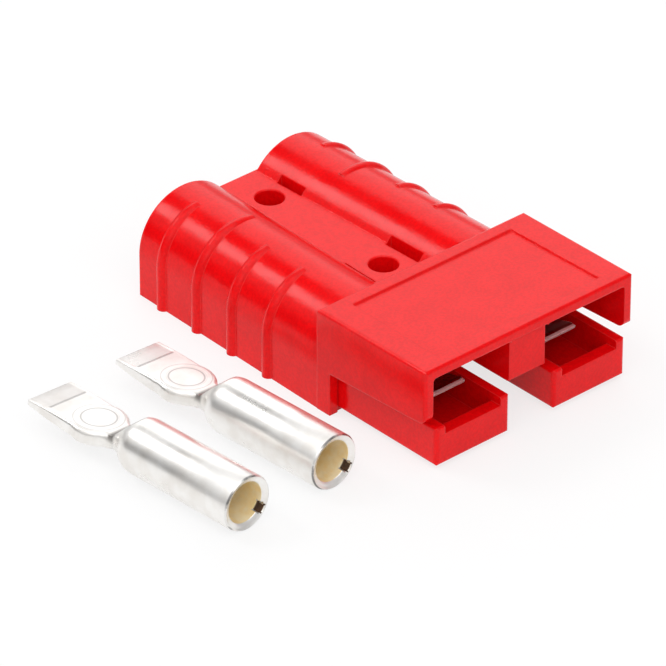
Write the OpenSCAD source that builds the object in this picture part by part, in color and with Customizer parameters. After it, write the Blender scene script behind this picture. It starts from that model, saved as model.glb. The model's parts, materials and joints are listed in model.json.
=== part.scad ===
// Genderless two-pole power connector: a one-piece moulded housing, the leaf
// spring of each pole, and the two crimp contacts lying loose beside it.
// +Z is up, the mating face looks towards -Y, and the origin is midway
// between the two mounting holes on the flat underside.

/* [Housing] */
// Length from the wire end to the front of the tongues
housing_len = 79.5; // [76:0.5:90]
// Width of the head block
head_w = 50; // [48:0.5:58]
// Height of the head block
housing_h = 20.8; // [20:0.2:25]
// Width of the wire end, narrower than the head by the mould draft
rear_w = 47.4; // [46:0.2:50]
// Length of the head block, from its rear face to the front of the hood
head_len = 28.5; // [24:0.5:34]
// How far the tongues stand in front of the hood
tongue_lead = 0.6; // [0.2:0.1:2]
// Rounding of the outer edges of the head block
edge_r = 0.6; // [0.2:0.1:1]

/* [Barrels] */
// Radius of the arched top of a barrel
barrel_r = 10.8; // [9.5:0.1:11.5]
// Height of the centre of that arch
arch_z = 8.6; // [8:0.1:11]
// Radius of the wire entry
entry_r = 7.6; // [6:0.1:8]
// Height of the centre of the wire entry
entry_z = 9.7; // [9:0.1:11]
// Depth of the wire entry
entry_depth = 40; // [30:1:44]
// Height of the blade's passage above the wire entry's axis
passage_rise = 3.4; // [2.4:0.1:4]
// Top of the flat web between the barrels
web_z = 15.3; // [12:0.1:17]
// Rounding of the barrels' and the web's rear edges
rear_edge_r = 0.55; // [0.3:0.05:1]

/* [Core pockets] */
// Width of a pocket, measured on the web
pocket_w = 1.1; // [0.6:0.1:2]
// Depth of a pocket below the web
pocket_depth = 2.6; // [1:0.1:3]
// Distance from the wire end to the rear pocket
pocket_rear = 5.9; // [4:0.1:9]
// Length of the rear pocket
pocket_rear_len = 6.5; // [4:0.1:8]
// Distance from the wire end to the front pocket
pocket_front = 35; // [30:0.5:38]
// Length of the front pocket
pocket_front_len = 8.5; // [5:0.1:10]

/* [Grip ribs] */
// Number of ribs on a barrel
rib_count = 4; // [2:1:5]
// Distance from one rib to the next
rib_pitch = 9.9; // [7:0.1:10]
// Distance from the wire end to the first rib
rib_first = 6.8; // [4:0.1:9]
// Radius of the bead that forms a rib
rib_r = 1.25; // [0.8:0.05:1.6]
// How far a rib stands out of the side wall
rib_proud = 0.9; // [0.4:0.1:1.2]
// Angle over the arch at which the short ribs end
rib_reach = 82; // [70:1:100]
// Angle over the arch at which the long second rib ends
long_reach = 106; // [90:1:125]
// How far a rib still stands out of the arch where it ends
rib_end = 0.3; // [0.1:0.05:0.5]

/* [Mounting holes] */
// Distance between the two holes
hole_pitch = 31; // [26:0.5:34]
// Radius of a hole
hole_r = 2.75; // [2:0.05:3.5]
// Distance from the wire end to the first hole
hole_first = 9.4; // [7:0.1:12]

/* [Hood] */
// Thickness of the hood's top wall
hood_top_t = 1.9; // [1.5:0.1:3]
// Thickness of the hood's side walls
hood_side_t = 1.9; // [1.5:0.1:2.4]
// Height of the side wall's lower edge where it leaves the body
skirt_rear_z = 8.8; // [7:0.1:9.4]
// Height of the side wall's lower edge at the front
skirt_front_z = 10; // [9.8:0.1:12]
// Length of full-height body inside the head block
body_step = 3.4; // [2:0.1:6]
// Rounding of the side wall's lower front corner
skirt_corner_r = 1.8; // [0.8:0.1:3]
// Width of the centre column between the windows
column_w = 8.6; // [6:0.1:9.4]
// How far the column's face lies behind the hood's front edge
column_setback = 0.7; // [0:0.1:2]
// Depth of the recessed panel in the top
panel_depth = 0.45; // [0.2:0.05:0.9]
// Rim left in front of and behind the recessed panel
panel_rim_y = 2.9; // [2:0.1:5]
// Rim left on each side of the recessed panel
panel_rim_x = 5.4; // [3:0.1:8]
// Taper of the recessed panel's sides in degrees
panel_taper = 1; // [0:0.25:3]
// Width of the recessed panel's sloping walls, seen from above
panel_wall = 0.3; // [0.1:0.05:0.6]

/* [Tongues] */
// Clearance between a tongue and the mate's hood wall
mate_gap = 0.25; // [0.15:0.05:0.6]
// Clearance between a tongue and the mate's column
column_gap = 1; // [0.5:0.1:1.4]
// Height of a tongue's underside above the base
tongue_z = 0.8; // [0.4:0.1:1.5]
// Height of a tongue's side walls
tongue_top_z = 8.6; // [7.5:0.1:9]
// Thickness of a tongue's side walls
tongue_wall = 2.1; // [1.6:0.1:2.6]
// Thickness of a tongue's floor
tongue_floor = 2; // [1.4:0.1:2.6]
// Thickness of a tongue's front wall
lip_t = 2.6; // [1.4:0.1:3]
// How far the front wall is notched below the side walls
lip_drop = 1.7; // [0.8:0.1:3]
// Rounding of a tongue's upright corners
tongue_corner_r = 0.8; // [0.4:0.1:1]
// Rounding of a tongue's upper and lower edges
tongue_edge_r = 0.5; // [0.2:0.05:0.7]

/* [Springs] */
// Clearance between the leaf and the tray's inner wall
leaf_gap_in = 0.7; // [0.3:0.05:2.5]
// Clearance between the leaf and the tray's outer wall
leaf_gap_out = 1.85; // [0.3:0.05:3]
// Thickness of the leaf
leaf_t = 0.6; // [0.4:0.05:0.9]
// Height of the leaf's crest above the tray floor
leaf_rise = 5.9; // [4.5:0.1:6.2]
// Distance from the front of the tongue back to the crest
crest_back = 9.6; // [8:0.1:12]
// Bend radius of the crest
crest_r = 2.4; // [1:0.1:4]
// Slope of the long rear ramp in degrees
rear_slope = 15; // [12:0.5:20]
// Angle by which the leaf's free front end curls down over the crest
end_curl = 18; // [10:1:50]
// Length of the foot that lies on the floor
foot_len = 4; // [2:0.5:6]

/* [Contacts] */
// Length from the wire mouth to the blade tip
contact_len = 50.2; // [46:0.1:56]
// Outer radius of the crimp barrel
crimp_r = 5.4; // [5:0.05:6.5]
// Radius of the wire bore
wire_r = 3.95; // [3:0.05:4.6]
// Solid metal left between the wire bore and the drawn-in end
bore_floor = 2.5; // [2:0.1:6]
// Length over which the barrel is drawn in to the neck
shoulder_len = 6.4; // [4:0.1:8]
// Width of the blade
blade_w = 10.6; // [8:0.1:12]
// Thickness of the blade where its thin tip begins
blade_t = 2.1; // [1.4:0.1:2.6]
// Thickness of the blade's heel
heel_t = 3.2; // [2.2:0.1:4]
// Height of the blade's upper face above the barrel's axis
blade_top = 0.75; // [0.4:0.05:2.6]
// Length of the thinned tip
tip_len = 4.8; // [3:0.1:7]
// Thickness of the tip at its very end
tip_t = 1.1; // [0.6:0.1:2]
// How far the tip's upper face falls
tip_drop = 0.15; // [0:0.05:1]
// Width of the waist between the crimp barrel and the blade
waist_w = 6.6; // [5:0.1:8]
// Radius of the hollow that draws the blade's heel in to the neck
heel_fillet_r = 2; // [1:0.1:3]
// Distance from the blade's tip to the centre of the stamped rings
ring_back = 12.8; // [9:0.1:15]
// Outer radius of the inner stamped ring
small_ring_r = 3.4; // [2:0.1:4]
// Outer radius of the outer stamped ring
large_ring_r = 4.8; // [4:0.1:5]
// Width of a stamped ring's groove
ring_w = 0.3; // [0.15:0.05:0.5]
// Distance from the blade's tip to the waist
neck_back = 18.6; // [17:0.1:21]
// How far behind the waist the flattening dies leave their crease
crease_back = 0.6; // [0:0.1:2]

/* [Contacts beside the housing] */
// Distance of the outer contact's mouth from the housing's side
outer_aside = 34.77; // [28:0.05:45]
// Distance of the inner contact's mouth from the housing's side
inner_aside = 14.83; // [10:0.05:20]
// Distance of the outer contact's mouth back from the tongues' front
outer_back = 8.1; // [0:0.05:20]
// Distance of the inner contact's mouth back from the tongues' front
inner_back = 7.8; // [0:0.05:20]
// Heading of the outer contact in degrees
outer_heading = 3.3; // [0:0.1:10]
// Heading of the inner contact in degrees
inner_heading = 3; // [0:0.1:10]
// Roll of both contacts about their own axes in degrees
contact_roll = 5; // [-10:0.5:10]

/* [Hidden] */
$fn = 64;

cut = 1;                              // overshoot of every cutting tool
flip = [[0, 1], [1, 0]];              // swaps the two coordinates of a point
red = [0.86, 0.10, 0.12];
steel = [0.72, 0.73, 0.75];
silver = [0.82, 0.81, 0.78];

// Stations along the housing, measured in y from the hole pattern's centre
rear_y = hole_first + hole_pitch / 2;
tip_y = rear_y - housing_len;
hood_y = tip_y + tongue_lead;
head_y = hood_y + head_len;
step_y = head_y - body_step;

// The barrels turn outwards by the draft angle, so that their outer sides
// run from the wire end's width to the head's
draft = atan((head_w - rear_w) / 2 / (rear_y - step_y));
barrel_x = rear_w / 2 - barrel_r;
barrel_len = (rear_y - step_y - 1) / cos(draft);

// The straight wire entries run midway along the turned barrels
entry_x = barrel_x + entry_depth / 2 * tan(draft);

// Widths that the tongues, windows and springs share
inner_x = head_w / 2 - hood_side_t;
tongue_out = inner_x - mate_gap;
tongue_in = column_w / 2 + column_gap;
tray_out = tongue_out - tongue_wall;
tray_in = tongue_in + tongue_wall;
floor_z = tongue_z + tongue_floor;

// Stations along a contact, measured from its mouth
neck_y = contact_len - neck_back;
ring_y = contact_len - ring_back;
crimp_len = neck_y - shoulder_len;

// The round neck stays just inside the blade's waist
neck_r = waist_w / 2 - 0.1;
heel_z = blade_top - heel_t;

passage_top = entry_z + passage_rise;
window_back = step_y + 0.4;           // the windows bite into the full body

// Draws its children once on each side of the centreline
module both_sides() {
    children();
    mirror([1, 0, 0]) children();
}

// A box given by its lowest and highest corners
module block(low, high) {
    translate(low) cube(high - low);
}

// A rectangle with all four corners rounded
module rounded_rect(low, high, r) {
    translate(low + [r, 0]) square(high - low - [2 * r, 0]);
    translate(low + [0, r]) square(high - low - [0, 2 * r]);
    for (x = [low.x + r, high.x - r])
        for (y = [low.y + r, high.y - r])
            translate([x, y]) circle(r);
}

// A rectangle with its two upper corners rounded
module rounded_top(low, high, r) {
    translate(low) square(high - low - [0, r]);
    translate(low + [r, 0]) square(high - low - [2 * r, 0]);
    for (x = [low.x + r, high.x - r])
        translate([x, high.y - r]) circle(r);
}

// ---------------------------------------------------------------- housing

// Runs from the wire end towards the head along a barrel's drafted line,
// set back so that the turned barrel's outermost corner ends at rear_y
module along_barrel() {
    translate([barrel_x, rear_y - (barrel_r - rear_edge_r) * sin(draft), 0])
        rotate([0, 0, draft]) children();
}

// One barrel: an arch on straight sides, flat underneath, its rear edge
// rounded all the way round the arch and down the sides
module barrel() {
    along_barrel() {
        linear_extrude(arch_z)
            rounded_top([-barrel_r, -barrel_len], [barrel_r, 0], rear_edge_r);
        translate([0, 0, arch_z]) rotate([90, 0, 0])
            rotate_extrude(angle = 180, $fn = 96) {
                square([barrel_r - rear_edge_r, barrel_len]);
                translate([0, rear_edge_r]) square([barrel_r, barrel_len - rear_edge_r]);
                translate([barrel_r - rear_edge_r, rear_edge_r]) circle(rear_edge_r);
            }
    }
}

// The flat web between the barrels, its rear edge rounded
module web() {
    rotate([90, 0, 90]) linear_extrude(2 * barrel_x, center = true)
        rounded_top([step_y + 1, 0], [rear_y, web_z], rear_edge_r);
}

// One rib: a bead up the outer side that bends over the arch. Its bend is
// set off from the barrel's centre, so that it stands proud by rib_proud at
// the side and has sunk in to rib_end at the angle reach.
module rib(station, reach) {
    offset_x = (rib_proud - rib_end) / (1 - cos(reach));
    bend_r = barrel_r - rib_r + rib_proud - offset_x;
    along_barrel() translate([offset_x, -station, 0]) {
        translate([bend_r, 0, 0]) cylinder(r = rib_r, h = arch_z);
        translate([0, 0, arch_z]) rotate([90, 0, 0])
            rotate_extrude(angle = reach, $fn = 96) translate([bend_r, 0]) circle(rib_r);
    }
}

// The head block before its windows are cut: three outlines meet, so that
// each outer edge is rounded
module head_block() {
    half = head_w / 2;
    intersection() {
        linear_extrude(housing_h)
            rounded_rect([-half, hood_y], [half, head_y + edge_r], edge_r);
        translate([0, head_y, 0]) rotate([90, 0, 0]) linear_extrude(head_len)
            rounded_rect([-half, -edge_r], [half, housing_h], edge_r);
        rotate([90, 0, 90]) linear_extrude(head_w + 2, center = true)
            head_side();
    }
}

// Side view of the head block: a step at the body, then the rising skirt
// with its rounded front corner
module head_side() {
    rise = (skirt_front_z - skirt_rear_z) / (step_y - hood_y);
    corner_y = hood_y + skirt_corner_r;
    corner_z = skirt_front_z - skirt_corner_r * rise;
    difference() {
        rounded_rect([hood_y, -edge_r], [head_y, housing_h], edge_r);
        polygon([
            [step_y, -cut], [step_y, skirt_rear_z],
            [corner_y, corner_z], [hood_y - cut, corner_z], [hood_y - cut, -cut]
        ]);
        difference() {
            translate([hood_y - cut, corner_z - cut])
                square([skirt_corner_r + cut, skirt_corner_r + cut]);
            translate([corner_y, corner_z + skirt_corner_r]) circle(skirt_corner_r);
            translate([corner_y - 0.01, corner_z - 2 * cut]) square([cut, 3 * cut]);
        }
    }
}

// One mating window, cut from the front back to the full-height body
module window() {
    top = housing_h - hood_top_t;
    translate([0, window_back, 0]) rotate([90, 0, 0])
        linear_extrude(head_len + cut)
            rounded_top([column_w / 2, -cut], [inner_x, top], 0.7);
}

// One tongue: an open-topped tray that carries the spring, its edges rounded
// by the three outlines that meet in it
module tongue() {
    back_y = step_y + cut;
    difference() {
        intersection() {
            linear_extrude(housing_h)
                rounded_rect([tongue_in, tip_y], [tongue_out, back_y], tongue_corner_r);
            rotate([90, 0, 90]) linear_extrude(head_w)
                rounded_rect([tip_y, tongue_z], [back_y + cut, tongue_top_z], tongue_edge_r);
            translate([0, back_y, 0]) rotate([90, 0, 0]) linear_extrude(back_y - tip_y)
                rounded_rect([tongue_in, tongue_z], [tongue_out, tongue_top_z], tongue_edge_r);
        }
        block([tray_in, tip_y + lip_t, floor_z], [tray_out, step_y + 2 * cut, housing_h]);
        block([tray_in, tip_y - cut, tongue_top_z - lip_drop],
              [tray_out, tip_y + lip_t + cut, housing_h]);
    }
}

// One round wire entry with its lead-in, and the flat passage that takes
// the contact's blade on into the tray
module wire_way() {
    translate([entry_x, rear_y + cut, entry_z]) rotate([90, 0, 0]) {
        cylinder(r = entry_r, h = entry_depth + cut, $fn = 96);
        cylinder(r1 = entry_r + 0.9 + cut, r2 = entry_r, h = 0.9 + cut, $fn = 96);
    }
    block([tray_in, step_y - cut, floor_z],
          [tray_out, rear_y - entry_depth + 0.01, passage_top]);
}

// The two core pockets at the foot of one barrel's inner side
module core_pockets() {
    foot = sqrt(pow(barrel_r, 2) - pow(web_z - arch_z, 2));
    side = foot - pocket_w;
    top = arch_z + sqrt(pow(barrel_r, 2) - pow(side, 2));
    along_barrel() {
        block([-foot - 0.15, -pocket_rear - pocket_rear_len, web_z - pocket_depth],
              [-side, -pocket_rear, top + cut]);
        block([-foot - 0.5, -pocket_front - pocket_front_len, web_z - pocket_depth],
              [-side, -pocket_front, top + cut]);
    }
}

// The shallow panel sunk in the head block's top, its four walls sloping
module top_panel() {
    intersection() {
        rotate([90, 0, 90]) linear_extrude(head_w, center = true)
            panel_section(hood_y + panel_rim_y, head_y - panel_rim_y);
        panel_side();
        mirror([1, 0, 0]) panel_side();
    }
}

// Section of the panel between two walls that slope outwards as they rise
module panel_section(from, to) {
    low_z = housing_h - panel_depth;
    lean = panel_wall * cut / panel_depth;
    polygon([
        [from + panel_wall, low_z], [to - panel_wall, low_z],
        [to + lean, housing_h + cut], [from - lean, housing_h + cut]
    ]);
}

// All that lies left of the panel's sloping right wall, along its taper
module panel_side() {
    translate([head_w / 2 - panel_rim_x, hood_y + panel_rim_y, 0])
        rotate([90, 0, panel_taper]) translate([0, 0, -head_len])
            linear_extrude(2 * head_len) panel_section(-2 * head_w, 0);
}

module mounting_holes() {
    for (s = [-1, 1]) translate([0, s * hole_pitch / 2, 0]) {
        translate([0, 0, -cut]) cylinder(r = hole_r, h = web_z + 2 * cut);
        translate([0, 0, web_z - 0.2])
            cylinder(r1 = hole_r, r2 = hole_r + 0.2 + cut, h = 0.2 + cut);
    }
}

module housing() {
    color(red) difference() {
        union() {
            web();
            both_sides() barrel();
            both_sides() for (i = [0 : rib_count - 1])
                rib(rib_first + i * rib_pitch, i == 1 ? long_reach : rib_reach);
            difference() {
                head_block();
                both_sides() window();
                block([-column_w / 2 - 0.1, hood_y - cut, -cut],
                      [column_w / 2 + 0.1, hood_y + column_setback, housing_h - hood_top_t]);
                block([-column_w / 2 - 0.1, hood_y - cut, -cut],
                      [column_w / 2 + 0.1, window_back, skirt_front_z]);
            }
            both_sides() tongue();
        }
        both_sides() wire_way();
        both_sides() core_pockets();
        top_panel();
        mounting_holes();
    }
}

// ---------------------------------------------------------------- springs

// Points of an arc about a centre, from one angle to another, where 0 is
// straight up and a positive angle leans towards the wire end
function arc(centre, r, from, to, steps = 24) =
    [for (i = [0 : steps]) let (a = from + (to - from) * i / steps)
        centre + r * [sin(a), cos(a)]];

// Unit vector across the path at point i, lengthened at a corner so that a
// strip of constant width turns there
function across(p, i) =
    let (n = len(p) - 1,
         a = p[min(i + 1, n)] - p[min(i, n - 1)],
         b = p[max(i, 1)] - p[max(i - 1, 0)],
         u = a / norm(a), v = b / norm(b), m = u + v)
    [-m.y, m.x] / (norm(m) * norm(m) / 2) ;

// A strip of thickness t along a path, half of it on each side
module strip(p, t) {
    polygon(concat(
        [for (i = [0 : len(p) - 1]) p[i] + across(p, i) * t / 2],
        [for (i = [len(p) - 1 : -1 : 0]) p[i] - across(p, i) * t / 2]
    ));
}

// Side view of the leaf: a foot on the floor, a long ramp that rises towards
// the front, and the free end, which curls down over the crest
module leaf_side() {
    low_z = floor_z + leaf_t / 2;
    mid_r = crest_r + leaf_t / 2;
    centre = [tip_y + crest_back, floor_z + leaf_rise - leaf_t - crest_r];
    crest = arc(centre, mid_r, -end_curl, rear_slope);
    ramp_top = crest[len(crest) - 1];
    bend_y = ramp_top.x + (ramp_top.y - low_z) / tan(rear_slope);
    strip(concat(crest, [[bend_y, low_z], [bend_y + foot_len, low_z]]), leaf_t);
}

module leaf_spring() {
    from = tray_in + leaf_gap_in;
    color(steel) translate([from, 0, 0]) rotate([90, 0, 90])
        linear_extrude(tray_out - leaf_gap_out - from) leaf_side();
}

// --------------------------------------------------------------- contacts

// A crimp contact with its wire mouth on the origin, its axis along +y and
// its blade's upper face up
module crimp_contact() {
    color(silver) difference() {
        union() {
            // barrel, drawn in to the neck and pressed flat between two dies
            difference() {
                rotate([-90, 0, 0]) rotate_extrude($fn = 96) crimp_profile();
                translate([0, 0, blade_top]) die();
                translate([0, 0, heel_z]) mirror([0, 0, 1]) die();
            }
            intersection() {
                translate([0, 0, -crimp_r]) linear_extrude(2 * crimp_r) blade_plan();
                rotate([90, 0, 90]) linear_extrude(2 * crimp_r + 2, center = true)
                    blade_side();
            }
        }
        crimp_bore();
        for (r = [small_ring_r, large_ring_r]) stamped_ring(r);
    }
}

// What a die presses away: all above the blade, behind a 45 degree face
module die() {
    crease_y = neck_y - crease_back;
    rotate([90, 0, 90]) linear_extrude(4 * crimp_r, center = true)
        polygon([
            [crease_y, 0], [crease_y - 2 * crimp_r, 2 * crimp_r],
            [contact_len + cut, 2 * crimp_r], [contact_len + cut, 0]
        ]);
}

// Side view of the blade: its underside rises from the heel to the thin tip
module blade_side() {
    from_y = neck_y - 3;
    thin_y = contact_len - tip_len;
    polygon([
        [from_y, heel_z], [ring_y, heel_z], [thin_y, blade_top - blade_t],
        [contact_len, blade_top - tip_drop - tip_t], [contact_len, blade_top - tip_drop],
        [thin_y, blade_top], [from_y, blade_top]
    ]);
}

// One of the two rings stamped in the blade's heel
module stamped_ring(r) {
    translate([0, ring_y, blade_top - 0.15]) difference() {
        cylinder(r = r, h = cut);
        translate([0, 0, -cut]) cylinder(r = r - ring_w, h = 3 * cut);
    }
}

// Half section of the crimp barrel, its axis on x = 0: a straight tube whose
// end is drawn in to the neck by an S-shaped shoulder
module crimp_profile() {
    turn = 2 * atan((crimp_r - neck_r) / shoulder_len);
    bend_r = shoulder_len / 2 / sin(turn);
    polygon(concat(
        [[0, 0], [crimp_r - 0.5, 0], [crimp_r, 0.5]],
        arc([crimp_len, crimp_r - bend_r], bend_r, 0, turn, 10) * flip,
        arc([neck_y, neck_r + bend_r], -bend_r, turn, 0, 10) * flip,
        [[neck_r, neck_y + 0.5], [0, neck_y + 0.5]]
    ));
}

// The wire bore with a drilled bottom, a chamfered mouth and a key slot
module crimp_bore() {
    wire_depth = crimp_len - bore_floor;
    rotate([-90, 0, 0]) {
        translate([0, 0, -cut]) cylinder(r = wire_r, h = wire_depth + cut, $fn = 96);
        translate([0, 0, wire_depth - 0.01])
            cylinder(r1 = wire_r, r2 = 0.2, h = wire_r * 0.5, $fn = 96);
        translate([0, 0, -0.01])
            cylinder(r1 = wire_r + 0.35, r2 = wire_r, h = 0.35, $fn = 96);
    }
    rotate([0, 32, 0]) translate([wire_r - 0.5, -cut, -0.75]) cube([1.45, 3 + cut, 1.5]);
}

// Plan of the blade: straight sides, a round heel, and a hollow on each side
// that draws the heel in to the waist
module blade_plan() {
    heel_r = blade_w / 2 + 0.3;
    waist = waist_w / 2;
    reach_r = heel_r + heel_fillet_r;
    hollow = [waist + heel_fillet_r,
              -sqrt(pow(reach_r, 2) - pow(waist + heel_fillet_r, 2))];
    meet = hollow * heel_r / reach_r;
    translate([-blade_w / 2, ring_y]) square([blade_w, ring_back]);
    translate([-waist, neck_y - 2.5]) square([waist_w, ring_y - neck_y + 2.5]);
    translate([0, ring_y]) circle(heel_r, $fn = 96);
    translate([0, ring_y]) both_sides() difference() {
        translate([0, hollow.y]) square([meet.x, meet.y - hollow.y]);
        translate(hollow) circle(heel_fillet_r);
    }
}

// A contact lying on its barrel beside the housing
module laid_contact(aside, back, heading) {
    translate([-head_w / 2 - aside, tip_y + back, crimp_r])
        rotate([0, contact_roll, heading]) crimp_contact();
}

module leaf_spring_left() {
    mirror([1, 0, 0]) leaf_spring();
}

module leaf_spring_right() {
    leaf_spring();
}

module crimp_contact_outer() {
    laid_contact(outer_aside, outer_back, outer_heading);
}

module crimp_contact_inner() {
    laid_contact(inner_aside, inner_back, inner_heading);
}

housing();
leaf_spring_left();
leaf_spring_right();
crimp_contact_outer();
crimp_contact_inner();
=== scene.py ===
import json
import math

import bmesh
import bpy
from mathutils import Matrix, Vector


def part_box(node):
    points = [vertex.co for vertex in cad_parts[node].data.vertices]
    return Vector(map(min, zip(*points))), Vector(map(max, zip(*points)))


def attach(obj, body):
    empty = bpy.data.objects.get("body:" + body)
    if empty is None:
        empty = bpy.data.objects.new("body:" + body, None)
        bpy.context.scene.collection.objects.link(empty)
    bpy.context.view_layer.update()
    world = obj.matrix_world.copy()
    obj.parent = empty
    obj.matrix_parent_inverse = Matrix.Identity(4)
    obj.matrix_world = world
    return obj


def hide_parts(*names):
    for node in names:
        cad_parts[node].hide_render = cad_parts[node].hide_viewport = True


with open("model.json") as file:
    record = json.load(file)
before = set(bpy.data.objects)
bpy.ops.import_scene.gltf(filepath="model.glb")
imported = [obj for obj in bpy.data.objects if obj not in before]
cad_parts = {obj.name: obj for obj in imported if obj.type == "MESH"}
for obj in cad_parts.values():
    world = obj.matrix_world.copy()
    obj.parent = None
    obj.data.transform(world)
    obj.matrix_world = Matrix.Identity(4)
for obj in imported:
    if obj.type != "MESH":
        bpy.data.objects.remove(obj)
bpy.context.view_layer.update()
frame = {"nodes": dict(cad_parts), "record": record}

# ---------------------------------------------------------------- the room
# A pale table top that runs out of sight, in a small photo studio with two
# softboxes behind, a broad one over the viewer, and three dark flags.
# Nothing here belongs to the connector.
scene = bpy.context.scene
scene.view_settings.view_transform = "Standard"

table_half = 4
table = bpy.data.meshes.new("table_top")
bm = bmesh.new()
bmesh.ops.create_grid(bm, x_segments=1, y_segments=1, size=table_half)
bm.to_mesh(table)
bm.free()
table_top = bpy.data.objects.new("table_top", table)
scene.collection.objects.link(table_top)

paper = bpy.data.materials.new("white_paper")
paper.use_nodes = True
nodes, links = paper.node_tree.nodes, paper.node_tree.links
sheet = nodes["Principled BSDF"]
sheet.inputs["Base Color"].default_value = (0.93, 0.93, 0.93, 1)
sheet.inputs["Roughness"].default_value = 0.9
sheet.inputs["Specular IOR Level"].default_value = 0.0
# To the eye, and in metal, most of the sheet's white is its own, so that the
# shadow on it stays light
own_share = 0.75
glow = nodes.new("ShaderNodeEmission")
glow.inputs["Color"].default_value = (1, 1, 1, 1)
glow.inputs["Strength"].default_value = 1.0
ray = nodes.new("ShaderNodeLightPath")
seen = ray.outputs["Is Camera Ray"]
for kind in ("Is Glossy Ray", "Is Transmission Ray"):
    either = nodes.new("ShaderNodeMath")
    either.operation = "MAXIMUM"
    links.new(seen, either.inputs[0])
    links.new(ray.outputs[kind], either.inputs[1])
    seen = either.outputs[0]
share = nodes.new("ShaderNodeMath")
share.operation = "MULTIPLY"
share.inputs[1].default_value = own_share
links.new(seen, share.inputs[0])
blend = nodes.new("ShaderNodeMixShader")
links.new(share.outputs[0], blend.inputs[0])
links.new(sheet.outputs[0], blend.inputs[1])
links.new(glow.outputs[0], blend.inputs[2])
links.new(blend.outputs[0], nodes["Material Output"].inputs["Surface"])
table.materials.append(paper)

# The room's own light, from dim at the floor to pale overhead
world = bpy.data.worlds.new("studio")
scene.world = world
world.use_nodes = True
nodes, links = world.node_tree.nodes, world.node_tree.links
where = nodes.new("ShaderNodeTexCoord")
height = nodes.new("ShaderNodeSeparateXYZ")
links.new(where.outputs["Generated"], height.inputs[0])
room = nodes.new("ShaderNodeValToRGB")
links.new(height.outputs["Z"], room.inputs[0])
ramp = room.color_ramp
for stop, grey in ((0.0, 0.36), (0.2, 0.42), (0.5, 0.70), (1.0, 0.88)):
    if stop in (0.0, 1.0):
        place = ramp.elements[0 if stop == 0.0 else -1]
    else:
        place = ramp.elements.new(stop)
    place.position = stop
    place.color = (grey, grey, grey, 1)

# What stands round the table: its direction, half its width and its soft rim
# in degrees, whether it dims the room or adds to it, and how strongly
light = room.outputs["Color"]
for direction, half, soft, deed, level in (
    ((-0.762, 0.630, 0.15), 11, 7, "MULTIPLY", 0.1),      # flag, low at the back left
    ((0.030, 0.630, 0.776), 8, 5, "MULTIPLY", 0.15),      # flag, high at the back
    ((0.563, -0.413, 0.716), 14, 8, "MULTIPLY", 0.35),    # flag, high at the front right
    ((0.520, 0.660, 0.540), 16, 10, "ADD", 0.95),         # softbox at the back right
    ((-0.334, 0.630, 0.701), 7, 3, "ADD", 6.5),           # small bright one, back left
    ((-0.300, -0.450, 0.841), 30, 16, "ADD", 0.80),       # broad one over the viewer
):
    facing = nodes.new("ShaderNodeVectorMath")
    facing.operation = "DOT_PRODUCT"
    links.new(where.outputs["Generated"], facing.inputs[0])
    facing.inputs[1].default_value = Vector(direction).normalized()
    edge = nodes.new("ShaderNodeMapRange")
    edge.interpolation_type = "SMOOTHSTEP"
    links.new(facing.outputs["Value"], edge.inputs["Value"])
    edge.inputs["From Min"].default_value = math.cos(math.radians(half + soft))
    edge.inputs["From Max"].default_value = math.cos(math.radians(half))
    edge.inputs["To Min"].default_value = 1.0 if deed == "MULTIPLY" else 0.0
    edge.inputs["To Max"].default_value = level
    step = nodes.new("ShaderNodeVectorMath")
    step.operation = deed
    links.new(light, step.inputs[0])
    links.new(edge.outputs["Result"], step.inputs[1])
    light = step.outputs["Vector"]
links.new(light, nodes["Background"].inputs["Color"])
nodes["Background"].inputs["Strength"].default_value = 1.0

# The camera looks down on the connector from the front left, from far off
around, above, distance = math.radians(-41.8), math.radians(32.314), 1.3
camera = bpy.data.cameras.new("camera")
camera.sensor_width = 36
camera.lens = 389.4
camera.clip_end = 20
camera_object = bpy.data.objects.new("camera", camera)
scene.collection.objects.link(camera_object)
scene.camera = camera_object
away = Vector((math.sin(around) * math.cos(above), -math.cos(around) * math.cos(above),
               math.sin(above)))
aim = Vector((-0.00878, -0.01166, 0.0025))
camera_object.location = aim + away * distance
camera_object.rotation_euler = away.to_track_quat("Z", "Y").to_euler()

# ------------------------------------------------------------- the housing
# One moulding in red polycarbonate: web, barrels, hood and tongues come out
# of the tool together. The skin is half gloss, with the spark-eroded grain
# of the tool, slight flow mottling, and soft edges painted a little paler,
# partly as wear and partly as a painted highlight.


def new_group(name, inputs, outputs):
    """An empty shader group; returns it, its nodes and links, and its two ends."""
    group = bpy.data.node_groups.new(name, "ShaderNodeTree")
    for label, value in inputs.items():
        socket = group.interface.new_socket(label, in_out="INPUT",
                                            socket_type="NodeSocketFloat")
        socket.default_value = value
    for label, kind in outputs.items():
        group.interface.new_socket(label, in_out="OUTPUT", socket_type=kind)
    return (group, group.nodes, group.links,
            group.nodes.new("NodeGroupInput"), group.nodes.new("NodeGroupOutput"))


def sum_up(nodes, links, operation, first, second, clamp=False):
    """One Math node; each side is an output to link or a plain number."""
    node = nodes.new("ShaderNodeMath")
    node.operation = operation
    node.use_clamp = clamp
    for socket, value in zip(node.inputs, (first, second)):
        if isinstance(value, (int, float)):
            socket.default_value = value
        else:
            links.new(value, socket)
    return node.outputs[0]


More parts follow.
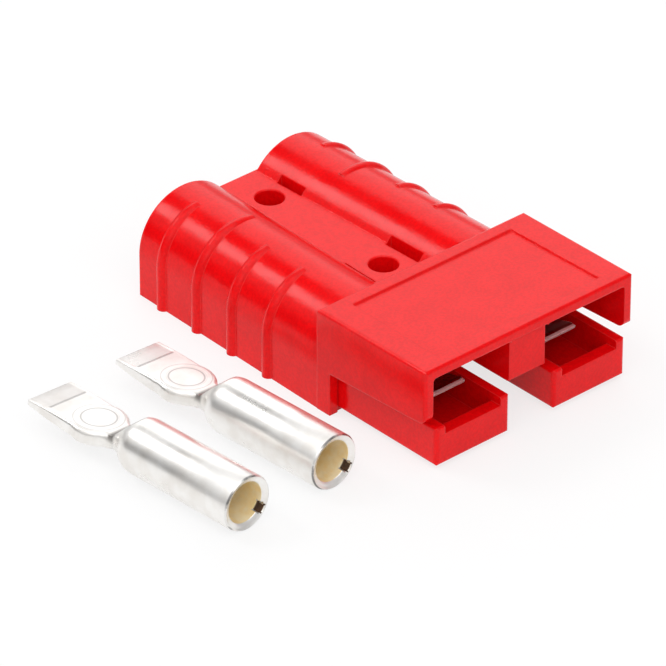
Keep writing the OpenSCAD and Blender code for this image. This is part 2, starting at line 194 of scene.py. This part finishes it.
# Grain: the fine tooth that a tool leaves, and a broad cloudy drift
grain, nodes, links, enter, leave = new_group(
    "tool_grain", {"Grain Size": 0.0004, "Cloud Size": 0.006},
    {"Height": "NodeSocketFloat", "Cloud": "NodeSocketFloat"})
spot = nodes.new("ShaderNodeTexCoord").outputs["Object"]
fine = nodes.new("ShaderNodeTexNoise")
fine.inputs["Detail"].default_value = 3
fine.inputs["Roughness"].default_value = 0.6
links.new(spot, fine.inputs["Vector"])
links.new(sum_up(nodes, links, "DIVIDE", 1.0, enter.outputs["Grain Size"]),
          fine.inputs["Scale"])
cloud = nodes.new("ShaderNodeTexNoise")
cloud.inputs["Detail"].default_value = 4
cloud.inputs["Roughness"].default_value = 0.55
links.new(spot, cloud.inputs["Vector"])
links.new(sum_up(nodes, links, "DIVIDE", 1.0, enter.outputs["Cloud Size"]),
          cloud.inputs["Scale"])
links.new(fine.outputs["Fac"], leave.inputs["Height"])
links.new(cloud.outputs["Fac"], leave.inputs["Cloud"])

# Soft edges: how far the surface bends away within a short reach, and the
# normal rounded over that reach
soft_edges, nodes, links, enter, leave = new_group(
    "soft_edges", {"Reach": 0.0004, "Gain": 6.0},
    {"Edge": "NodeSocketFloat", "Normal": "NodeSocketVector"})
rounded = nodes.new("ShaderNodeBevel")
rounded.samples = 8
links.new(enter.outputs["Reach"], rounded.inputs["Radius"])
flat = nodes.new("ShaderNodeNewGeometry")
same = nodes.new("ShaderNodeVectorMath")
same.operation = "DOT_PRODUCT"
links.new(rounded.outputs["Normal"], same.inputs[0])
links.new(flat.outputs["Normal"], same.inputs[1])
turned = sum_up(nodes, links, "SUBTRACT", 1.0, same.outputs["Value"])
links.new(sum_up(nodes, links, "MULTIPLY", turned, enter.outputs["Gain"], clamp=True),
          leave.inputs["Edge"])
links.new(rounded.outputs["Normal"], leave.inputs["Normal"])

# Handling: short fine scratches that run three ways, and dull patches
handling, nodes, links, enter, leave = new_group(
    "handling", {"Scratch Length": 0.004, "Patch Size": 0.012},
    {"Scratches": "NodeSocketFloat", "Patches": "NodeSocketFloat"})
spot = nodes.new("ShaderNodeTexCoord").outputs["Object"]
marks = None
for turn in ((0.3, 0.2, 0.5), (1.1, 0.7, 2.0), (2.3, 1.9, 0.9)):
    lay = nodes.new("ShaderNodeMapping")
    lay.inputs["Rotation"].default_value = turn
    lay.inputs["Scale"].default_value = (1.0, 14.0, 14.0)
    links.new(spot, lay.inputs["Vector"])
    streak = nodes.new("ShaderNodeTexNoise")
    streak.inputs["Detail"].default_value = 1
    links.new(lay.outputs["Vector"], streak.inputs["Vector"])
    links.new(sum_up(nodes, links, "DIVIDE", 1.0, enter.outputs["Scratch Length"]),
              streak.inputs["Scale"])
    thin = nodes.new("ShaderNodeMapRange")
    thin.interpolation_type = "SMOOTHSTEP"
    links.new(streak.outputs["Fac"], thin.inputs["Value"])
    thin.inputs["From Min"].default_value = 0.68
    thin.inputs["From Max"].default_value = 0.76
    one = thin.outputs["Result"]
    marks = one if marks is None else sum_up(nodes, links, "MAXIMUM", marks, one)
patch = nodes.new("ShaderNodeTexNoise")
patch.inputs["Detail"].default_value = 3
links.new(spot, patch.inputs["Vector"])
links.new(sum_up(nodes, links, "DIVIDE", 1.0, enter.outputs["Patch Size"]),
          patch.inputs["Scale"])
links.new(marks, leave.inputs["Scratches"])
links.new(patch.outputs["Fac"], leave.inputs["Patches"])


def place_group(nodes, group, **values):
    """Places a group in a material with its own values."""
    node = nodes.new("ShaderNodeGroup")
    node.node_tree = group
    for label, value in values.items():
        node.inputs[label.replace("_", " ")].default_value = value
    return node


def tint(nodes, links, mask, low, high):
    """A colour that goes from low to high with a mask."""
    mix = nodes.new("ShaderNodeMix")
    mix.data_type = "RGBA"
    links.new(mask, mix.inputs["Factor"])
    for socket, colour in ((mix.inputs[6], low), (mix.inputs[7], high)):
        if isinstance(colour, tuple):
            socket.default_value = (*colour, 1)
        else:
            links.new(colour, socket)
    return mix.outputs[2]


def span(nodes, links, value, low, high, to_low, to_high):
    """Maps a value smoothly from one range to another, and clamps it."""
    node = nodes.new("ShaderNodeMapRange")
    node.interpolation_type = "SMOOTHSTEP"
    links.new(value, node.inputs["Value"])
    for label, number in (("From Min", low), ("From Max", high),
                          ("To Min", to_low), ("To Max", to_high)):
        node.inputs[label].default_value = number
    return node.outputs["Result"]


red = bpy.data.materials.new("red_polycarbonate")
red.use_nodes = True
nodes, links = red.node_tree.nodes, red.node_tree.links
skin = nodes["Principled BSDF"]
skin.inputs["Specular IOR Level"].default_value = 0.2

tooth = place_group(nodes, grain, Grain_Size=0.0006, Cloud_Size=0.005)
edges = place_group(nodes, soft_edges, Reach=0.00032, Gain=6.0)
wear = place_group(nodes, handling, Scratch_Length=0.0035, Patch_Size=0.014)

# The colour drifts with the flow and darkens in the grain; on the edges it is
# painted paler, partly wear and partly a painted highlight
flow = span(nodes, links, tooth.outputs["Cloud"], 0.3, 0.7, 0.0, 1.0)
body = tint(nodes, links, flow, (0.84, 0.002, 0.004), (0.91, 0.003, 0.005))
speck = span(nodes, links, tooth.outputs["Height"], 0.36, 0.64, 0.0, 0.3)
body = tint(nodes, links, speck, body, (0.56, 0.001, 0.003))
# Painted highlight, partly wear: the edges go a pale red
edge_wear_and_highlight = sum_up(nodes, links, "MULTIPLY", edges.outputs["Edge"], 0.6)
body = tint(nodes, links, edge_wear_and_highlight, body, (0.96, 0.055, 0.05))
links.new(body, skin.inputs["Base Color"])

# Patches and scratches dull the gloss
gloss = span(nodes, links, wear.outputs["Patches"], 0.35, 0.7, 0.15, 0.21)
gloss = sum_up(nodes, links, "ADD", gloss,
               sum_up(nodes, links, "MULTIPLY", wear.outputs["Scratches"], 0.05))
links.new(gloss, skin.inputs["Roughness"])

# The relief is the grain with its drift, and the scratches cut into it
relief = sum_up(nodes, links, "ADD", tooth.outputs["Height"],
                sum_up(nodes, links, "MULTIPLY", tooth.outputs["Cloud"], 2.2))
relief = sum_up(nodes, links, "SUBTRACT", relief,
                sum_up(nodes, links, "MULTIPLY", wear.outputs["Scratches"], 0.08))
bump = nodes.new("ShaderNodeBump")
bump.inputs["Strength"].default_value = 0.7
bump.inputs["Distance"].default_value = 0.00004
links.new(relief, bump.inputs["Height"])
links.new(edges.outputs["Normal"], bump.inputs["Normal"])
links.new(bump.outputs["Normal"], skin.inputs["Normal"])

housing = frame["nodes"]["housing"]
housing.data.materials.clear()
housing.data.materials.append(red)

# ------------------------------------------------------------- the springs
# Each leaf is blanked from thin stainless strip and bent: a foot on its tray's
# floor, a ramp, and a free end that curls down at the front. Rolling marks run
# along the leaf; its steel is painted dark grey as shade, and a painted
# highlight makes its edges and its front end bright.
steel = bpy.data.materials.new("rolled_stainless")
steel.use_nodes = True
nodes, links = steel.node_tree.nodes, steel.node_tree.links
strip = nodes["Principled BSDF"]
# The rolling marks: noise that is fine across the leaf and long along it
spot = nodes.new("ShaderNodeTexCoord").outputs["Object"]
lay = nodes.new("ShaderNodeMapping")
lay.inputs["Scale"].default_value = (5200.0, 160.0, 160.0)
links.new(spot, lay.inputs["Vector"])
rolled = nodes.new("ShaderNodeTexNoise")
rolled.inputs["Scale"].default_value = 1.0
rolled.inputs["Detail"].default_value = 2
links.new(lay.outputs["Vector"], rolled.inputs["Vector"])
tooth = place_group(nodes, grain, Cloud_Size=0.003)
edges = place_group(nodes, soft_edges, Reach=0.00015, Gain=5.0)
wear = place_group(nodes, handling, Scratch_Length=0.003, Patch_Size=0.006)
# Painted shade: the leaf's own steel is a dark grey, for the inside of its tray
metal = tint(nodes, links, tooth.outputs["Cloud"], (0.20, 0.19, 0.19), (0.30, 0.29, 0.28))

# A painted highlight makes the leaf white and less metallic along its front end
# and on its edges
highlight_from, highlight_to = 0.0005, 0.0008
apart = nodes.new("ShaderNodeSeparateXYZ")
links.new(spot, apart.inputs[0])
leaf_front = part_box("leaf_spring_left")[0][1]
painted_highlight = span(nodes, links, apart.outputs[1], leaf_front + highlight_from, leaf_front + highlight_to, 1.0, 0.0)
painted_highlight = sum_up(nodes, links, "MAXIMUM", painted_highlight, edges.outputs["Edge"])
metal = tint(nodes, links, painted_highlight, metal, (0.95, 0.94, 0.93))
links.new(metal, strip.inputs["Base Color"])
links.new(span(nodes, links, painted_highlight, 0.0, 1.0, 1.0, 0.45), strip.inputs["Metallic"])
links.new(span(nodes, links, wear.outputs["Patches"], 0.3, 0.7, 0.2, 0.36),
          strip.inputs["Roughness"])
relief = sum_up(nodes, links, "SUBTRACT", rolled.outputs["Fac"],
                sum_up(nodes, links, "MULTIPLY", wear.outputs["Scratches"], 0.5))
bump = nodes.new("ShaderNodeBump")
bump.inputs["Strength"].default_value = 0.5
bump.inputs["Distance"].default_value = 0.00001
links.new(relief, bump.inputs["Height"])
links.new(edges.outputs["Normal"], bump.inputs["Normal"])
links.new(bump.outputs["Normal"], strip.inputs["Normal"])
for side in ("left", "right"):
    leaf = frame["nodes"]["leaf_spring_" + side]
    leaf.data.materials.clear()
    leaf.data.materials.append(steel)

# ------------------------------------------------------------ the contacts
# Each is one length of copper tube: drawn in at one end, pressed flat,
# stamped with two rings, thinned at the tip and silver plated. The wire
# bore is left dull, ochre with flux. They lie loose beside the housing.
contact_len = 0.0502
crimp_r, wire_r, wire_depth = 0.0054, 0.00395, 0.0227
crimp_len, neck_at, neck_r = 0.0252, 0.0316, 0.0032
ring_at = 0.0374
blade_half, heel_half, waist_half = 0.0053, 0.0056, 0.0033
blade_top, blade_t, heel_low = 0.00075, 0.0021, -0.00245
tip_len, tip_drop, tip_low = 0.0048, 0.00015, -0.0005
tip_at = contact_len - tip_len
waist_hollow_r, crease_back = 0.002, 0.0006

# The key slot in the bore's mouth
key_turn, key_half, key_reach, key_depth = math.radians(-32), 0.0008, 0.0049, 0.0015

# How far inside the mouth the record's mount point lies, and how far each
# contact has rolled to one side
mount_inside, roll = 0.0115, math.radians(5)


def out_from(nodes, links, first, second):
    """The distance from an axis, out of the two coordinates across it."""
    flat = nodes.new("ShaderNodeCombineXYZ")
    links.new(first, flat.inputs[0])
    links.new(second, flat.inputs[1])
    length = nodes.new("ShaderNodeVectorMath")
    length.operation = "LENGTH"
    links.new(flat.outputs[0], length.inputs[0])
    return length.outputs["Value"]


def on_contact(nodes, links):
    """The place on the contact, whole and as across it, along it and up."""
    where = nodes.new("ShaderNodeAttribute")
    where.attribute_name = "along_contact"
    apart = nodes.new("ShaderNodeSeparateXYZ")
    links.new(where.outputs["Vector"], apart.inputs[0])
    return (where.outputs["Vector"], *apart.outputs)


# The plating: white silver with a warm bloom, drawing marks along the tube,
# and painted shade: grey in the stamped rings and the tip's step, dark in the
# folds at the waist
silver = bpy.data.materials.new("silver_plating")
silver.use_nodes = True
nodes, links = silver.node_tree.nodes, silver.node_tree.links
plate = nodes["Principled BSDF"]
drawn_at, across_x, along_y, up_z = on_contact(nodes, links)
inside = sum_up(nodes, links, "ABSOLUTE", across_x, 0.0)

# The two stamped rings, the inner one with a fainter line just outside it; the
# relief sinks them, and their grooves are painted grey as shade
from_ring = out_from(nodes, links, across_x,
                     sum_up(nodes, links, "SUBTRACT", along_y, ring_at))
on_top = span(nodes, links, up_z, blade_top - 0.0003, blade_top - 0.00015, 0.0, 1.0)
pressed = None
for ring_r, width, depth in ((0.00325, 0.0002, 1.0), (0.00365, 0.0001, 0.35),
                             (0.00465, 0.00016, 0.6)):
    off = sum_up(nodes, links, "ABSOLUTE",
                 sum_up(nodes, links, "SUBTRACT", from_ring, ring_r), 0.0)
    groove = span(nodes, links, off, width * 0.35, width * 1.3, depth, 0.0)
    pressed = groove if pressed is None else sum_up(nodes, links, "MAXIMUM", pressed, groove)
pressed = sum_up(nodes, links, "MULTIPLY", pressed, on_top)

# The step where the tip is thinned, and the tip's face beyond it; neither
# quite reaches the blade's sides
off = sum_up(nodes, links, "ABSOLUTE", sum_up(nodes, links, "SUBTRACT", along_y, tip_at), 0.0)
step_line = span(nodes, links, off, 0.0001, 0.00035, 1.0, 0.0)
step_line = sum_up(nodes, links, "MULTIPLY", step_line,
                   span(nodes, links, inside, 0.0041, 0.0046, 1.0, 0.0))
step_line = sum_up(nodes, links, "MULTIPLY", step_line, on_top)
tip_face = span(nodes, links, along_y, tip_at, tip_at + 0.0004, 0.0, 1.0)
tip_face = sum_up(nodes, links, "MULTIPLY", tip_face,
                  span(nodes, links, inside, 0.0043, 0.005, 1.0, 0.0))

# The fold at the waist, where the flattened tube meets the shoulder, painted
# dark as shade in the crease
fold_shade = sum_up(nodes, links, "MULTIPLY",
              span(nodes, links, along_y, neck_at - 0.0018, neck_at - 0.0008, 0.0, 1.0),
              span(nodes, links, along_y, neck_at - 0.0002, neck_at + 0.0008, 1.0, 0.0))
fold_shade = sum_up(nodes, links, "MULTIPLY", fold_shade,
              span(nodes, links, up_z, -0.0011, 0.0004, 0.0, 1.0))

# The face that the upper die leaves across the shoulder, drawn as a dark line
# of painted shade, and a dark broken line of painted shade round the sawn
# outer edge of the mouth
die_line_shade = sum_up(nodes, links, "ABSOLUTE",
                  sum_up(nodes, links, "SUBTRACT", sum_up(nodes, links, "ADD", up_z, along_y),
                         blade_top + neck_at - crease_back), 0.0)
die_line_shade = span(nodes, links, die_line_shade, 0.00008, 0.00025, 1.0, 0.0)
die_line_shade = sum_up(nodes, links, "MULTIPLY", die_line_shade,
                  span(nodes, links, up_z, blade_top, blade_top + 0.0003, 0.0, 1.0))
fold_shade = sum_up(nodes, links, "MAXIMUM", fold_shade,
              sum_up(nodes, links, "MULTIPLY", die_line_shade, 0.4))
from_axis = out_from(nodes, links, across_x, up_z)
rim_shade = sum_up(nodes, links, "MULTIPLY",
              span(nodes, links, from_axis, 0.00505, 0.00518, 0.0, 1.0),
              span(nodes, links, along_y, 0.00022, 0.00045, 1.0, 0.0))

# The silver itself: the tip's and the blade's faces a little greyer, and each
# painted shade above in its own grey
tooth = place_group(nodes, grain, Cloud_Size=0.004)
wear = place_group(nodes, handling, Scratch_Length=0.0025, Patch_Size=0.007)
bloom = span(nodes, links, tooth.outputs["Cloud"], 0.35, 0.72, 0.0, 1.0)
coat = tint(nodes, links, bloom, (0.95, 0.935, 0.91), (0.86, 0.83, 0.79))
blade_face = span(nodes, links, along_y, ring_at + 0.0036, ring_at + 0.0062, 0.0, 1.0)
blade_face = sum_up(nodes, links, "MULTIPLY", blade_face,
                    span(nodes, links, inside, 0.0038, 0.0047, 1.0, 0.0))
grey = sum_up(nodes, links, "ADD", sum_up(nodes, links, "MULTIPLY", tip_face, 0.22),
              sum_up(nodes, links, "MULTIPLY", blade_face, 0.2))
coat = tint(nodes, links, grey, coat, (0.45, 0.42, 0.41))
# Painted shade: grey in the stamped rings and along the tip's step
grey = sum_up(nodes, links, "MULTIPLY",
              sum_up(nodes, links, "MAXIMUM", pressed, step_line), 0.62)
coat = tint(nodes, links, grey, coat, (0.30, 0.28, 0.28))
# Painted shade: the fold at the waist and the die's line go dark
coat = tint(nodes, links, sum_up(nodes, links, "MULTIPLY", fold_shade, 0.8), coat,
            (0.10, 0.085, 0.075))
# Painted shade: a dark broken line round the mouth's outer edge
broken = span(nodes, links, tooth.outputs["Cloud"], 0.44, 0.56, 0.15, 0.85)
coat = tint(nodes, links, sum_up(nodes, links, "MULTIPLY", rim_shade, broken), coat,
            (0.10, 0.095, 0.095))
links.new(coat, plate.inputs["Base Color"])

# The barrel is burnished by its dies, the stamped blade is left a satin white
satin = sum_up(nodes, links, "MULTIPLY", on_top,
               span(nodes, links, along_y, neck_at - 0.001, neck_at + 0.002, 0.0, 0.42))
links.new(sum_up(nodes, links, "SUBTRACT", 0.82, satin), plate.inputs["Metallic"])
dull = span(nodes, links, wear.outputs["Patches"], 0.3, 0.7, 0.27, 0.36)
dull = sum_up(nodes, links, "ADD", dull,
              sum_up(nodes, links, "MULTIPLY", wear.outputs["Scratches"], 0.05))
links.new(dull, plate.inputs["Roughness"])

# The drawing marks: noise that is fine across the tube and long along it
lay = nodes.new("ShaderNodeMapping")
lay.inputs["Scale"].default_value = (3800.0, 90.0, 3800.0)
links.new(drawn_at, lay.inputs["Vector"])
drawing = nodes.new("ShaderNodeTexNoise")
drawing.inputs["Scale"].default_value = 1.0
drawing.inputs["Detail"].default_value = 2
links.new(lay.outputs["Vector"], drawing.inputs["Vector"])
relief = sum_up(nodes, links, "MULTIPLY", drawing.outputs["Fac"], 0.012)
relief = sum_up(nodes, links, "ADD", relief,
                sum_up(nodes, links, "MULTIPLY", tooth.outputs["Cloud"], 0.25))
relief = sum_up(nodes, links, "SUBTRACT", relief,
                sum_up(nodes, links, "MULTIPLY", pressed, 0.12))
relief = sum_up(nodes, links, "SUBTRACT", relief,
                sum_up(nodes, links, "MULTIPLY", tip_face, 0.8))
bump = nodes.new("ShaderNodeBump")
bump.inputs["Strength"].default_value = 0.8
bump.inputs["Distance"].default_value = 0.0001
links.new(relief, bump.inputs["Height"])
links.new(bump.outputs["Normal"], plate.inputs["Normal"])

# The bore: a matt ochre skin of flux over the copper, paler in patches, and
# painted nearly black in the key slot as shade
flux = bpy.data.materials.new("fluxed_bore")
flux.use_nodes = True
nodes, links = flux.node_tree.nodes, flux.node_tree.links
lining = nodes["Principled BSDF"]
lining.inputs["Specular IOR Level"].default_value = 0.3
tooth = place_group(nodes, grain, Grain_Size=0.0003, Cloud_Size=0.0022)
wear = place_group(nodes, handling, Patch_Size=0.004)
ochre = tint(nodes, links, span(nodes, links, tooth.outputs["Cloud"], 0.3, 0.7, 0.0, 1.0),
             (0.94, 0.73, 0.36), (0.96, 0.84, 0.58))
_, across_x, _, up_z = on_contact(nodes, links)
from_axis = out_from(nodes, links, across_x, up_z)
# Painted shade: the key slot's faces go nearly black
slot_shade = span(nodes, links, from_axis, wire_r + 0.00007, 0.0044, 0.0, 1.0)
ochre = tint(nodes, links, slot_shade, ochre, (0.09, 0.05, 0.03))
links.new(ochre, lining.inputs["Base Color"])
links.new(span(nodes, links, wear.outputs["Patches"], 0.3, 0.7, 0.55, 0.8),
          lining.inputs["Roughness"])
bump = nodes.new("ShaderNodeBump")
bump.inputs["Strength"].default_value = 0.6
bump.inputs["Distance"].default_value = 0.00006
links.new(tooth.outputs["Height"], bump.inputs["Height"])
links.new(bump.outputs["Normal"], lining.inputs["Normal"])


def draw_out(bm, rim, along, half, low=None, high=None, corner=None):
    """Draws the tube's open rim on to a new station and gives it its outline.

    rim is a list of (vertex, turn) pairs. Without a corner the outline is a
    circle of radius half, pressed flat at low and high; with one it is a bar
    2 * half wide from low to high, whose four edges have that radius."""
    turns = {tuple(vert.co): turn for vert, turn in rim}
    # Each open edge once
    open_edges = dict.fromkeys(edge for vert, turn in rim for edge in vert.link_edges
                               if edge.is_boundary)
    drawn = bmesh.ops.extrude_edge_only(bm, edges=list(open_edges))["geom"]
    rim = [(v, turns[tuple(v.co)]) for v in drawn if isinstance(v, bmesh.types.BMVert)]
    low = -half if low is None else low
    high = half if high is None else high
    for vert, turn in rim:
        aside, up = math.cos(turn), math.sin(turn)
        if corner is None:
            vert.co = (half * aside, along, min(max(half * up, low), high))
        else:
            core = (high - low) / 2 - corner
            vert.co = (math.copysign(half - corner, aside) + corner * aside, along,
                       (low + high) / 2 + math.copysign(core, up) + corner * up)
    return rim


def bore_and_barrel(bm):
    """Starts the tube at the drilled bottom of its bore, out to the countersunk
    mouth and back along the outside of the barrel; returns the open rim."""
    steps, seed_r = 96, 0.0002
    start = Matrix.Translation((0, wire_depth + 0.5 * wire_r, 0)) @ Matrix.Rotation(
        math.radians(90), 4, "X")
    bmesh.ops.create_circle(bm, cap_ends=True, segments=steps, radius=seed_r, matrix=start)
    bm.verts.ensure_lookup_table()
    # The turns are set half a step off, so that no vertex lies on an axis
    rim = [(v, 2 * math.pi * (i + 0.5) / steps) for i, v in enumerate(bm.verts)]
    for vert, turn in rim:
        vert.co.x, vert.co.z = seed_r * math.cos(turn), seed_r * math.sin(turn)
    for along, radius in (
        (wire_depth, wire_r), (key_depth + 0.0001, wire_r), (key_depth, wire_r),
        (0.0008, wire_r),
        (0.00062, wire_r + 0.00002), (0.00055, wire_r + 0.00009),
        (0.00030, wire_r + 0.00062), (0.00010, wire_r + 0.00102),
        (0.00002, wire_r + 0.00110), (0.0, wire_r + 0.00116),
        (0.00004, wire_r + 0.00124), (0.00034, crimp_r - 0.00006),
        (0.00045, crimp_r), (crimp_len * 0.5, crimp_r), (crimp_len, crimp_r),
    ):
        rim = draw_out(bm, rim, along, radius)
    return rim


def key_slot(bm):
    """Cuts the key slot at the mouth: what lies in its way is pushed out."""
    for vert in bm.verts:
        x, y, z = vert.co
        outward = x * math.cos(key_turn) + z * math.sin(key_turn)
        aside = abs(z * math.cos(key_turn) - x * math.sin(key_turn))
        reach = math.hypot(x, z)
        if outward > 0 and aside < key_half and y < key_depth + 0.00001 \
                and wire_r - 0.00015 < reach < key_reach:
            vert.co.x *= key_reach / reach
            vert.co.z *= key_reach / reach


def shoulder(bm, rim):
    """Draws the barrel in by two equal bends, pressed on top and underneath."""
    turn = 2 * math.atan((crimp_r - neck_r) / (neck_at - crimp_len))
    bend = (neck_at - crimp_len) / 2 / math.sin(turn)
    crease = neck_at - crease_back
    steps = 20
    for i in range(1, steps + 1):
        part = i / steps
        if part <= 0.5:
            lean = turn * part * 2
            along = crimp_len + bend * math.sin(lean)
            radius = crimp_r - bend * (1 - math.cos(lean))
        else:
            lean = turn * (1 - part) * 2
            along = neck_at - bend * math.sin(lean)
            radius = neck_r + bend * (1 - math.cos(lean))
        open_by = max(crease - along, 0.0)
        rim = draw_out(bm, rim, along, radius, max(-radius, heel_low - open_by),
                       min(radius, blade_top + open_by))
    return rim


def blade(bm, rim):
    """The waist and the round heel, then the blade with its thinned tip."""
    heel_out, waist_out = heel_half + waist_hollow_r, waist_half + waist_hollow_r
    hollow_at = ring_at - math.sqrt(heel_out ** 2 - waist_out ** 2)
    meet = ring_at + (hollow_at - ring_at) * heel_half / heel_out
    # Each station along the contact, and the radius of its four edges there
    for along, corner in (
        (0.0320, 0.0014), (0.0324, 0.0013), (0.0328, 0.0013), (0.0331, 0.0012),
        (meet, 0.0012), (0.0336, 0.0012), (0.0339, 0.0012), (0.0342, 0.0012),
        (0.0346, 0.0012), (0.0350, 0.0012), (0.0355, 0.0012), (0.0361, 0.0012),
        (0.0367, 0.0011), (0.0374, 0.0011), (0.0381, 0.0010), (0.0387, 0.0010),
        (0.0392, 0.0009), (0.0400, 0.0008), (0.0420, 0.0006), (0.0440, 0.0005),
        (tip_at, 0.0004), (tip_at + tip_len / 2, 0.0003),
    ):
        if along <= meet:
            rise = min(max(along - hollow_at, 0.0), waist_hollow_r)
            half = waist_out - math.sqrt(waist_hollow_r ** 2 - rise ** 2)
        else:
            off = min(abs(along - ring_at), heel_half)
            half = math.sqrt(heel_half ** 2 - off ** 2)
            half = max(half, blade_half) if along > ring_at else half
        thin = min(max((along - ring_at) / (tip_at - ring_at), 0.0), 1.0)
        tip = max((along - tip_at) / tip_len, 0.0)
        low = heel_low + thin * (blade_top - blade_t - heel_low)
        low += tip * (tip_low - blade_top + blade_t)
        rim = draw_out(bm, rim, along, half, low, blade_top - tip * tip_drop,
                       min(corner, (blade_top - low) * 0.46))
    # The tip's end, rounded over in four short steps
    for back, shrink in ((0.00022, 0.0), (0.00010, 0.00004), (0.00003, 0.00011), (0.0, 0.00022)):
        rim = draw_out(bm, rim, contact_len - back, blade_half - shrink, tip_low + shrink,
                       blade_top - tip_drop - shrink, 0.00025)


def in_bore(middle):
    """Whether a face's middle lies in the bore or in its key slot."""
    reach = math.hypot(middle.x, middle.z)
    aside = abs(middle.z * math.cos(key_turn) - middle.x * math.sin(key_turn))
    in_slot = aside < key_half and middle.x > 0 and reach < key_reach + 0.00002
    on_mouth = middle.y < 0.0001 and reach > key_reach
    return (middle.y < wire_depth + 0.002 and not on_mouth
            and (reach < wire_r + 0.00001 or in_slot))


def along_and_round(point):
    """A number that rises along the contact, and round it at each station."""
    return point.y * 1e7 + math.atan2(point.z, point.x)


def contact_shape():
    """The contact as a mesh, its mouth on the origin and its axis along +y."""
    bm = bmesh.new()
    rim = bore_and_barrel(bm)
    key_slot(bm)
    rim = shoulder(bm, rim)
    blade(bm, rim)
    bmesh.ops.holes_fill(bm, edges=[e for e in bm.edges if e.is_boundary], sides=0)
    bmesh.ops.recalc_face_normals(bm, faces=bm.faces)
    # Extruding leaves points and faces in another order each run, so they are
    # put in one of their own
    bm.verts.sort(key=lambda vert: along_and_round(vert.co))
    bm.faces.sort(key=lambda face: along_and_round(face.calc_center_median()))
    for face in bm.faces:
        face.smooth = True
        if in_bore(face.calc_center_median()):
            face.material_index = 1
    mesh = bpy.data.meshes.new("crimp_contact")
    bm.to_mesh(mesh)
    bm.free()
    mesh.set_sharp_from_angle(angle=math.radians(42))
    return mesh


for place in ("outer", "inner"):
    bore = next(mount for mount in frame["record"]["mounts"]
                if mount["name"] == place + "_contact_wire_bore")
    axis = Vector(bore["axis"])
    heading = math.atan2(axis.x, -axis.y)
    mouth = Vector(bore["pos_m"]) + axis * mount_inside
    mesh = contact_shape()
    mesh.name = "crimp_contact_" + place + "_drawn"
    local = mesh.attributes.new("along_contact", "FLOAT_VECTOR", "POINT")
    local.data.foreach_set("vector", [c for v in mesh.vertices for c in v.co])
    mesh.transform(Matrix.Translation(mouth) @ Matrix.Rotation(heading, 4, "Z")
                   @ Matrix.Rotation(roll, 4, "Y"))
    mesh.materials.append(silver)
    mesh.materials.append(flux)
    contact = bpy.data.objects.new(mesh.name, mesh)
    scene.collection.objects.link(contact)
    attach(contact, "root")
    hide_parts("crimp_contact_" + place)
